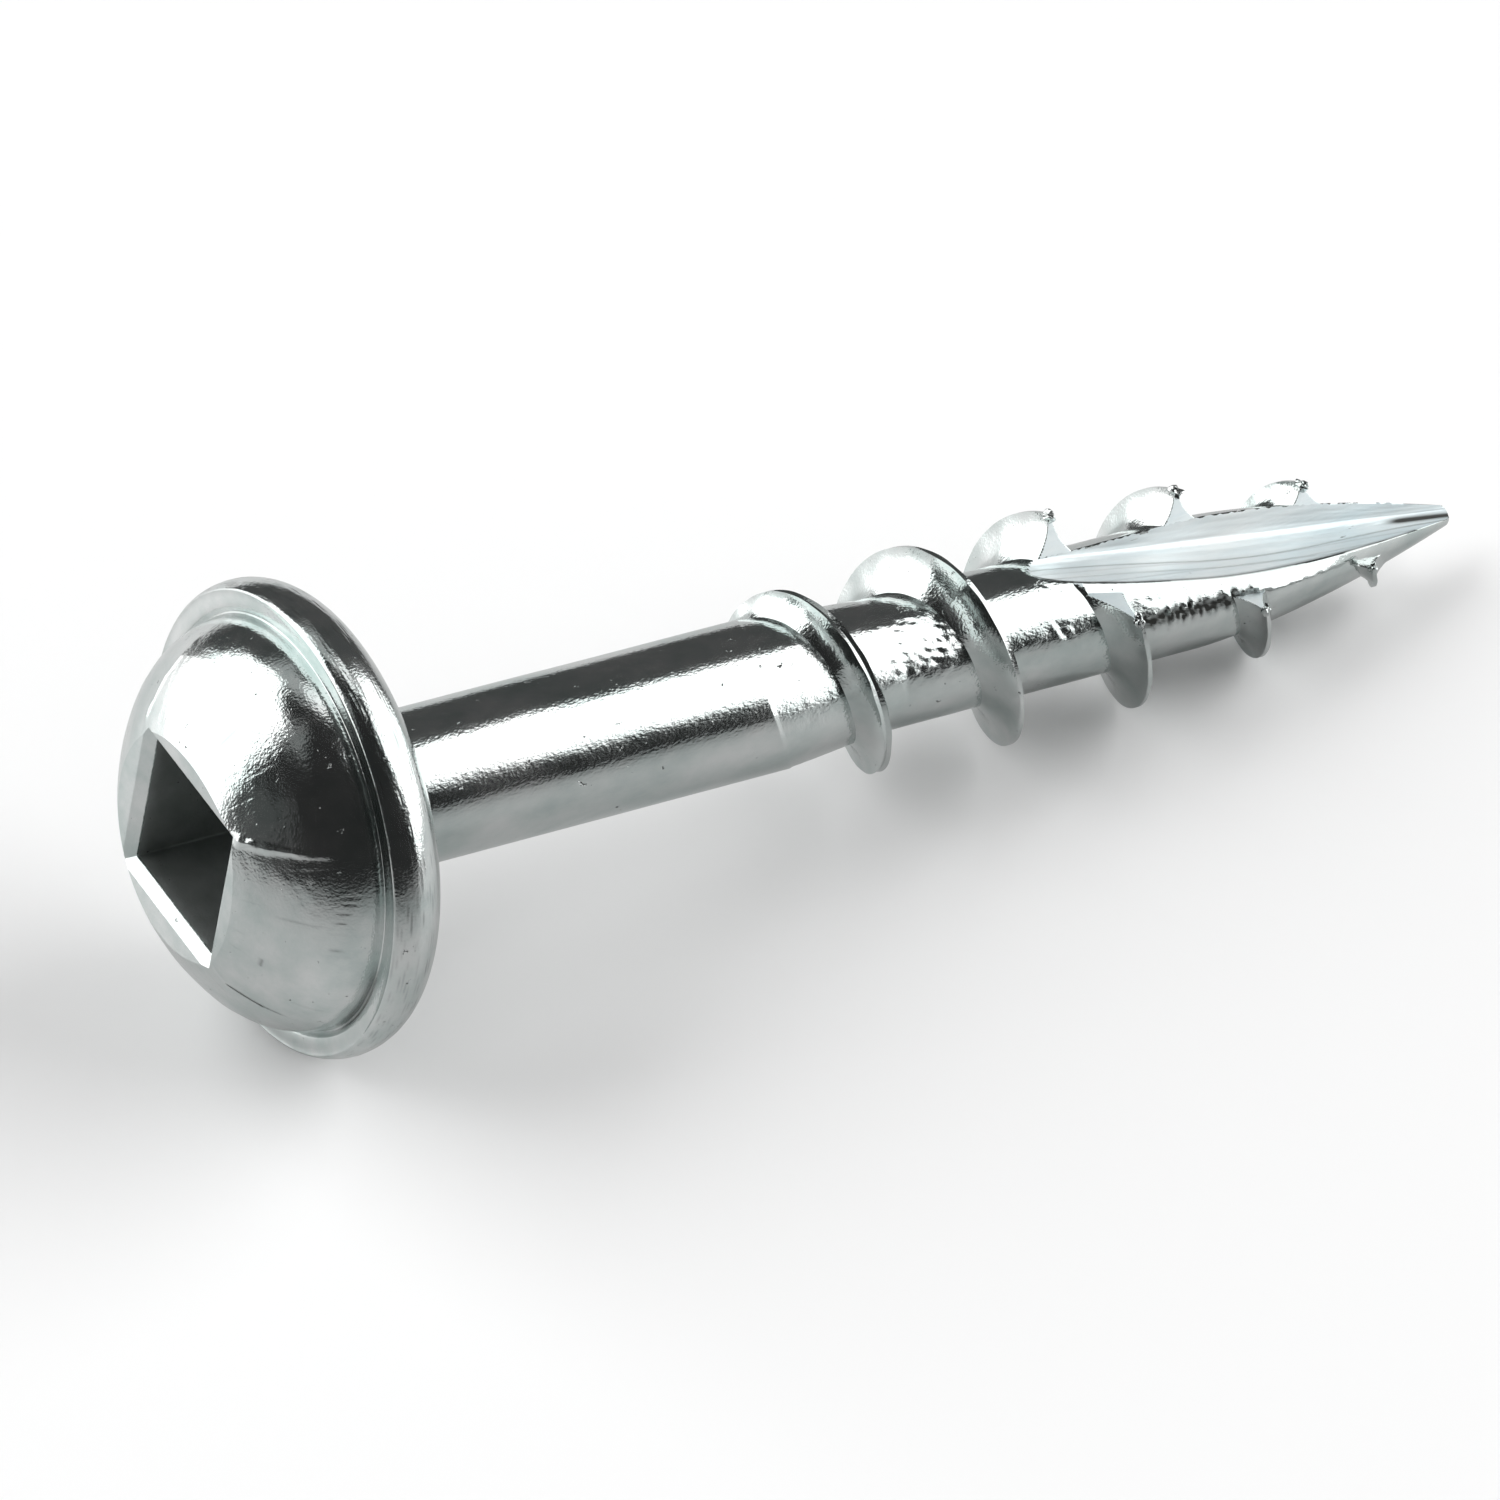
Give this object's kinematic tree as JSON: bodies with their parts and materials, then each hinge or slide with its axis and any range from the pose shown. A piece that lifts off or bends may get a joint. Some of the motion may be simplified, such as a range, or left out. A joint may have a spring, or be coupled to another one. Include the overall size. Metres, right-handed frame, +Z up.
{
  "type": "pocket hole screw",
  "caption": "Pocket hole screw with a domed washer head, square drive socket, smooth shank, coarse single-start thread and an auger flute down to the point",
  "frame": {"origin": "middle of the underside of the bounding box, with the screw lying on Z = 0 on its flange rim and thread", "axes": "the screw lies along X with its head at -X and its point at +X, its axis leaning down to the point by 7.59 degrees; +Z is up and the flute faces up and towards -Y"},
  "size_m": [0.0283, 0.009, 0.0089],
  "materials": {
    "zinc_plated_steel": "bright zinc plating on hardened steel"
  },
  "bodies": {
    "root": {"screw": "zinc_plated_steel"}
  },
  "joints": []
}
